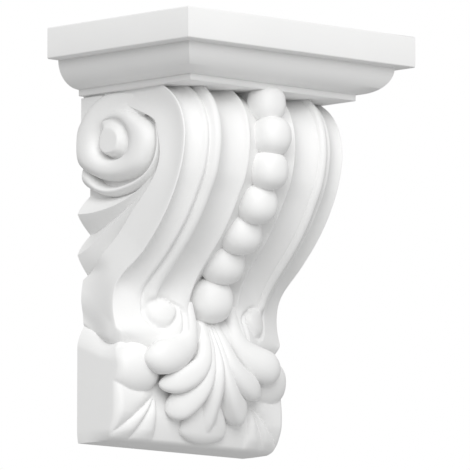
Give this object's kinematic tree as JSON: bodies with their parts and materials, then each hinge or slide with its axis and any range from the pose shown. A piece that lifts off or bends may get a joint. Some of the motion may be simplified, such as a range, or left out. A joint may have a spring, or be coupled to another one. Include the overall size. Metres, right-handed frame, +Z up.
{
  "type": "corbel",
  "caption": "Moulded scroll corbel: a stepped shelf over a beaded S-scroll with side volutes, an acanthus leaf over its foot, and a flat back that fixes to a wall.",
  "frame": {"origin": "middle of the flat back face, where the corbel meets the wall", "axes": "+Z up, +Y into the wall and square to the back face, +X across to the right of someone who faces the corbel"},
  "size_m": [0.165, 0.11, 0.22],
  "materials": {
    "white_paint": "factory-primed matt white hard polyurethane foam"
  },
  "bodies": {
    "root": {"corbel": "white_paint"}
  },
  "joints": []
}
